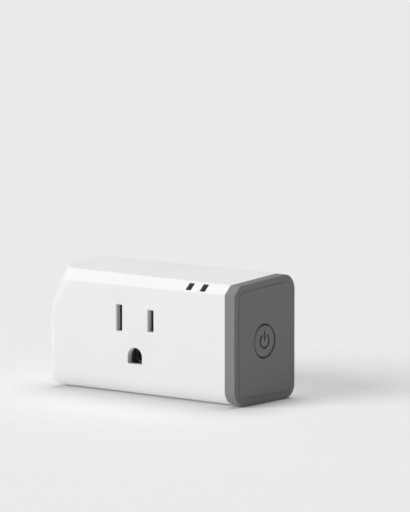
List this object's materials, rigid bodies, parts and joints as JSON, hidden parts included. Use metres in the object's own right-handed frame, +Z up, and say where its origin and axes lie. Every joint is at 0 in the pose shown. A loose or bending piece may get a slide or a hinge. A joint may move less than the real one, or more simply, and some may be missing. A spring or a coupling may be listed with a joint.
{
  "type": "smart plug",
  "caption": "Box-shaped smart plug with a bevelled top edge, a grounded outlet in front, wall blades behind and a round power button on its grey end cap.",
  "frame": {"origin": "midway between the two blades, on the flat back face that meets the wall", "axes": "+X to the right seen from the front, towards the grey end cap; +Y into the wall, the way the blades point; +Z up"},
  "size_m": [0.0757, 0.0522, 0.0394],
  "materials": {
    "white_case": "satin",
    "grey_plastic": "satin",
    "clear_guide": "smooth",
    "screw_steel": "satin",
    "plated_brass": "polished",
    "contact_brass": "satin",
    "black_plastic": "satin",
    "green_board": "smooth",
    "black_board": "smooth",
    "relay_blue": "smooth",
    "natural_plastic": "satin",
    "copper_wire": "enamelled",
    "copper_strip": "satin",
    "ceramic_body": "matt",
    "varistor_blue": "dipped",
    "yellow_case": "smooth",
    "capacitor_sleeve": "smooth",
    "bare_aluminium": "satin",
    "ferrite": "matt",
    "yellow_tape": "smooth",
    "shield_metal": "satin",
    "light_emitter": "smooth"
  },
  "bodies": {
    "case": {"front_housing": "white_case", "rear_cover": "white_case", "end_cap": "grey_plastic", "light_guide_left": "clear_guide", "light_guide_right": "clear_guide", "cover_screws": "screw_steel", "line_blade": "plated_brass", "neutral_blade": "plated_brass", "ground_pin": "plated_brass", "blade_holder": "black_plastic", "contact_carrier": "black_plastic", "line_contact": "contact_brass", "neutral_contact": "contact_brass", "ground_contact": "contact_brass", "ground_strap": "contact_brass", "main_board": "green_board", "relay_base": "black_plastic", "relay_cover": "relay_blue", "relay_bobbin": "natural_plastic", "relay_winding": "copper_wire", "relay_core": "screw_steel", "relay_yoke": "screw_steel", "relay_fixed_contact": "copper_strip", "fuse": "ceramic_body", "varistor": "varistor_blue", "safety_capacitor": "yellow_case", "capacitor_sleeves": "capacitor_sleeve", "capacitor_tops": "bare_aluminium", "transformer_core": "ferrite", "transformer_bobbin": "black_plastic", "transformer_winding": "yellow_tape", "rectifier": "black_plastic", "power_chip": "black_plastic", "radio_board": "black_board", "radio_shield": "shield_metal", "antenna_track": "copper_strip", "board_header": "black_plastic", "indicator_lights": "light_emitter", "button_board": "green_board", "switch_body": "black_plastic"},
    "button": {"power_button": "grey_plastic"},
    "plunger": {"switch_plunger": "natural_plastic"},
    "armature": {"relay_armature": "screw_steel", "relay_contact_arm": "copper_strip"}
  },
  "joints": [
    {"name": "button_press", "type": "slide", "parent": "case", "child": "button", "axis": [-1, 0, 0], "range_m": [0, 0.0004], "stiffness_N_per_m": 500, "springref_m": -0.0004},
    {"name": "plunger_press", "type": "slide", "parent": "case", "child": "plunger", "axis": [-1, 0, 0], "range_m": [0, 0.0004]},
    {"name": "armature_close", "type": "hinge", "parent": "case", "child": "armature", "pos_m": [-0.0192, -0.0224, -0.0074], "axis": [0, 0, -1], "range_deg": [0, 4], "stiffness_Nm_per_rad": 0.02, "springref_deg": -4.58}
  ],
  "couplings": [
    {"joint": "plunger_press", "follows": "button_press", "ratio": 1}
  ]
}
